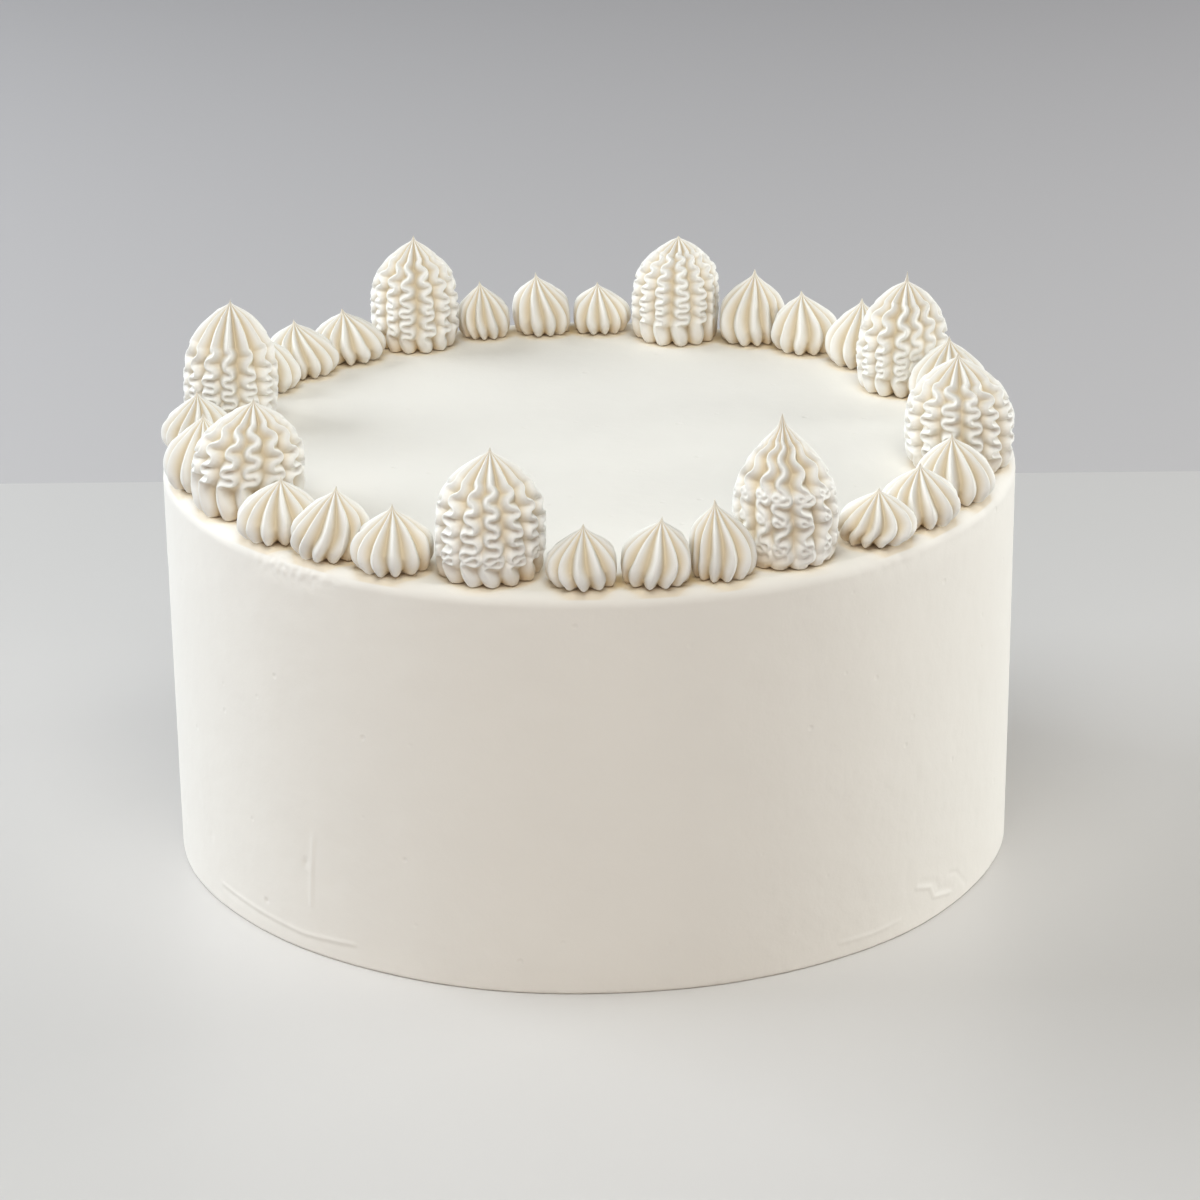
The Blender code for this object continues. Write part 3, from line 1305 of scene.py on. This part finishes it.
@dataclass
class Studio:
    """A plain pale table before a plain backdrop, soft lights, and the camera.

    The camera stands back from the cake at a distance and height, turned by small angles in
    degrees, with its lens and sensor in millimetres. The lights face a point as high as aim.
    """

    lens: float = 139.0
    sensor: float = 36.0
    back: float = 1.1904
    up: float = 0.5161
    pitch: float = 20.76
    yaw: float = 0.127
    roll: float = -0.56
    table_edge: float = 0.288
    room_light: float = 0.03
    floor_reach: float = 6.0
    aim: float = 0.06

    def camera(self) -> None:
        """Set up the camera at the photograph's viewing angle."""
        data = bpy.data.cameras.new("view")
        data.lens = self.lens
        data.sensor_width = self.sensor
        obj = add_object("view", data)
        turn = Euler((math.radians(90.0 - self.pitch), 0.0, -math.radians(self.yaw))).to_matrix()
        tilt = Matrix.Rotation(math.radians(self.roll), 3, "Z")
        obj.matrix_world = Matrix.Translation((0.0, -self.back, self.up)) @ (turn @ tilt).to_4x4()
        bpy.context.scene.camera = obj

    def sheet(self, name: str, corners: tuple[Vector, Vector, Vector, Vector],
              finish: Material) -> Object:
        """A flat stage piece.

        Args:
            name: Name of the piece.
            corners: Its four corners in turn.
            finish: Its material.

        Returns:
            The stage object.
        """
        bm = bmesh.new()
        bmesh.ops.create_grid(bm, x_segments=1, y_segments=1, size=1.0)
        for vert, corner in zip(bm.verts, corners):
            vert.co = corner
        mesh = bpy.data.meshes.new(name)
        bm.to_mesh(mesh)
        bm.free()
        mesh.materials.append(finish)
        obj = add_object(name, mesh)
        return obj

    def room(self) -> None:
        """Lay the table top, and the grey backdrop beyond its far edge."""
        reach = self.floor_reach
        edge = self.table_edge
        table = TABLE_PAINT.make()
        paper = BACKDROP_PAPER.make()
        self.sheet("table_top", (Vector((-reach, -reach, 0)), Vector((reach, -reach, 0)),
                                 Vector((-reach, edge, 0)), Vector((reach, edge, 0))), table)
        self.sheet("backdrop", (Vector((-reach, edge, 0)), Vector((reach, edge, 0)),
                                Vector((-reach, reach, 0)), Vector((reach, reach, 0))), paper)

    def soft_light(self, light: SoftLight) -> None:
        """Hang a square soft box that faces the cake, out of the camera's sight.

        Args:
            light: The soft box.
        """
        data = bpy.data.lights.new(light.name, "AREA")
        data.shape = "SQUARE"
        data.size = light.size
        data.energy = light.power
        data.color = light.colour
        obj = add_object(light.name, data)
        obj.location = light.place
        obj.visible_camera = False
        towards = Vector((0.0, 0.0, self.aim)) - Vector(light.place)
        obj.rotation_euler = towards.to_track_quat("-Z", "Y").to_euler()

    def lights(self) -> None:
        """Hang the soft boxes in a room with a little light of its own."""
        for light in SOFT_LIGHTS:
            self.soft_light(light)
        world = bpy.data.worlds.new("room_light")
        bpy.context.scene.world = world
        world.use_nodes = True
        background = world.node_tree.nodes["Background"]
        background.inputs["Color"].default_value = (1.0, 0.99, 0.98, 1.0)
        background.inputs["Strength"].default_value = self.room_light

    def build(self) -> None:
        """Set the whole stage, with its colours shown as they are lit."""
        bpy.context.scene.view_settings.view_transform = "Standard"
        self.camera()
        self.room()
        self.lights()


RUFFLES = {
    "tall_mound_1": Ruffle(0.28, 0.82, 0.0022, 0.0054, 0.75, 2.05),
    "tall_mound_2": Ruffle(0.18, 0.90, 0.0014, 0.0030, 0.55, 1.10, piles=(0.52, 0.65, 0.83),
                           pile_turn=1.4, pile_swing=0.8, pile_reach=0.05),
    "tall_mound_3": Ruffle(0.27, 0.84, 0.0024, 0.0040, 1.15, 1.75),
    "tall_mound_4": Ruffle(0.26, 0.85, 0.0020, 0.0044, 0.80, 1.90),
    "tall_mound_5": Ruffle(0.18, 0.78, 0.0018, 0.0032, 1.25, 1.65, rolls=0.20),
    "tall_mound_6": Ruffle(0.22, 0.84, 0.0014, 0.0040, 0.65, 1.90),
    "tall_mound_7": Ruffle(0.40, 0.88, 0.0024, 0.0042, 1.05, 1.75),
    "tall_mound_8": Ruffle(0.22, 0.70, 0.0018, 0.0046, 0.65, 1.95, rolls=0.22),
}
TIPS = {
    "tall_mound_2": Outline(0.30, 2.5, 1.10, tuck=0.10, spike=0.08, needle=0.14),
    "tall_mound_4": Outline(0.30, 2.6, 0.80, tuck=0.10, spike=0.09, needle=0.10),
    "tall_mound_5": Outline(0.32, 2.7, 0.86, tuck=0.10, spike=0.03),
}


@dataclass
class MoundRing:
    """The ring of piped mounds round the cake's top, tall ones with small ones between.

    seed starts the random draws, one run of them for each mound in turn.
    """

    seed: int = 31
    first: str = "tall_mound_1"

    def direction(self, node: str) -> float:
        """Direction of a mound from the middle of the cake."""
        low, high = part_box(node)
        return math.atan2(low.y + high.y, low.x + high.x)

    def names(self) -> list[str]:
        """Order the mounds round the ring, from the first tall one.

        Returns:
            The names of their solids.
        """
        start = self.direction(self.first) - 1e-6
        mounds = [name for name in frame["nodes"] if name != "cake"]
        return sorted(mounds, key=lambda name: (self.direction(name) - start) % (2.0 * math.pi))

    def mounds(self) -> list[Mound]:
        """Plan every mound on its site, with the sites on both sides of it.

        Returns:
            The planned mounds in turn.
        """
        sites = []
        for name in self.names():
            outline = DOME if name in RUFFLES else STAR
            sites.append(Site.measure(name, outline.tuck))
        planned = []
        for index, site in enumerate(sites):
            beside = (sites[index - 1], sites[(index + 1) % len(sites)])
            draw = random.Random(self.seed + index)
            if site.node in RUFFLES:
                tip = TIPS.get(site.node, DOME)
                planned.append(RuffledMound(site=site, neighbours=beside, draw=draw, outline=tip,
                                            ruffle=RUFFLES[site.node]))
            else:
                planned.append(StarMound(site=site, neighbours=beside, draw=draw))
        return planned


def main() -> None:
    """Build every piece in order."""
    logging.basicConfig(level=logging.INFO, format="%(name)s: %(message)s")
    clear_startup_objects()
    Studio().build()
    mounds = MoundRing().mounds()
    cake = IcedCake([mound.site for mound in mounds]).build(SMOOTH_ICING.make())
    LOG.info("%s: %d faces", cake.name, len(cake.data.polygons))
    piped = PIPED_ICING.make()
    for mound in mounds:
        piece = mound.build(piped)
        LOG.info("%s: %d faces, %.1f mm wide", piece.name, len(piece.data.polygons),
                 2000.0 * mound.site.widest)


if __name__ == "__main__":
    main()
